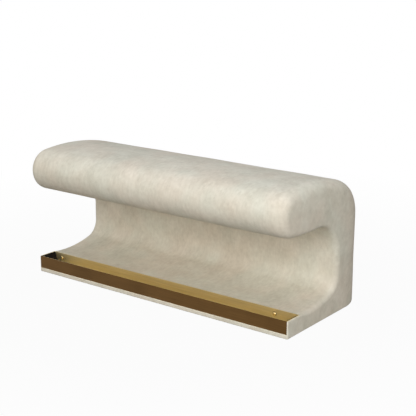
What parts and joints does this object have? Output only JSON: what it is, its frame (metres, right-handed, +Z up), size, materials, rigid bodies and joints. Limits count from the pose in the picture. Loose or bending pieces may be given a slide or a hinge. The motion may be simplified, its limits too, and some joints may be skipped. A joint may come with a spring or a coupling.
{
  "type": "upholstered entryway bench",
  "caption": "Low entryway bench with a padded C-shaped section: a rounded seat roll over an open shoe space, and a brass tray along the front of its base.",
  "frame": {"origin": "on the floor, under the middle of the bench's bounding box", "axes": "+X along the bench to the right as seen from the front, +Y to the back, +Z up"},
  "size_m": [1.1, 0.474, 0.477],
  "materials": {
    "nubuck": "soft brushed nap",
    "dust_cloth": "thin non-woven cloth",
    "foam": "open cell foam",
    "plywood": "raw birch plywood",
    "timber": "planed softwood",
    "brass": "brushed and lacquered",
    "black_rubber": "matt",
    "steel": "zinc plated",
    "glide_plastic": "matt"
  },
  "bodies": {
    "root": {"cover_seat": "nubuck", "cover_back": "nubuck", "cover_inner": "nubuck", "cover_front": "nubuck", "cover_end_left": "nubuck", "cover_end_right": "nubuck", "dust_cover": "dust_cloth", "foam_seat": "foam", "foam_inner": "foam", "foam_back": "foam", "foam_end_left": "foam", "foam_end_right": "foam", "rib_end_left": "plywood", "rib_mid_left": "plywood", "rib_mid_right": "plywood", "rib_end_right": "plywood", "inner_panel": "plywood", "seat_deck": "plywood", "back_panel": "plywood", "base_board": "plywood", "tray_rail": "timber", "nose_rail": "timber", "head_rail": "timber", "arm_left": "steel", "arm_right": "steel", "arm_bolts": "steel", "arm_nuts": "steel", "frame_screws": "steel", "tray": "brass", "tray_plug_left": "black_rubber", "tray_plug_right": "black_rubber", "tray_screws": "brass", "glides": "glide_plastic", "glide_screws": "steel"}
  },
  "joints": []
}
